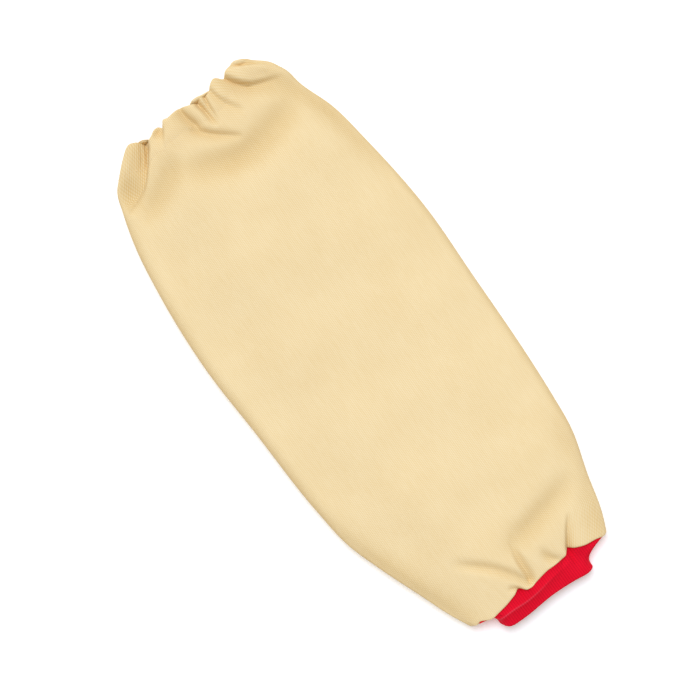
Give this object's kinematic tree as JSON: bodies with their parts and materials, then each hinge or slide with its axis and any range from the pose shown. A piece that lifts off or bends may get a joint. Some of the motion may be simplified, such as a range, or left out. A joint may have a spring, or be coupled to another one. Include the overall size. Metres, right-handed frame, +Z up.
{
  "type": "arm cover",
  "caption": "Arm cover for work lying flat: a tan cotton-drill sleeve with an elastic-gathered hem at the upper arm and a red rib-knit wrist cuff.",
  "frame": {"origin": "middle of the sleeve's plan, on the surface that it lies on", "axes": "+Y along the sleeve towards the upper-arm mouth, +X across the sleeve to the right as seen from above, +Z up"},
  "size_m": [0.1763, 0.3999, 0.025],
  "materials": {
    "cotton_drill": "matt twill",
    "rib_knit": "matt rib knit"
  },
  "bodies": {
    "root": {"sleeve_body": "cotton_drill", "upper_hem": "cotton_drill", "wrist_cuff": "rib_knit"}
  },
  "joints": []
}
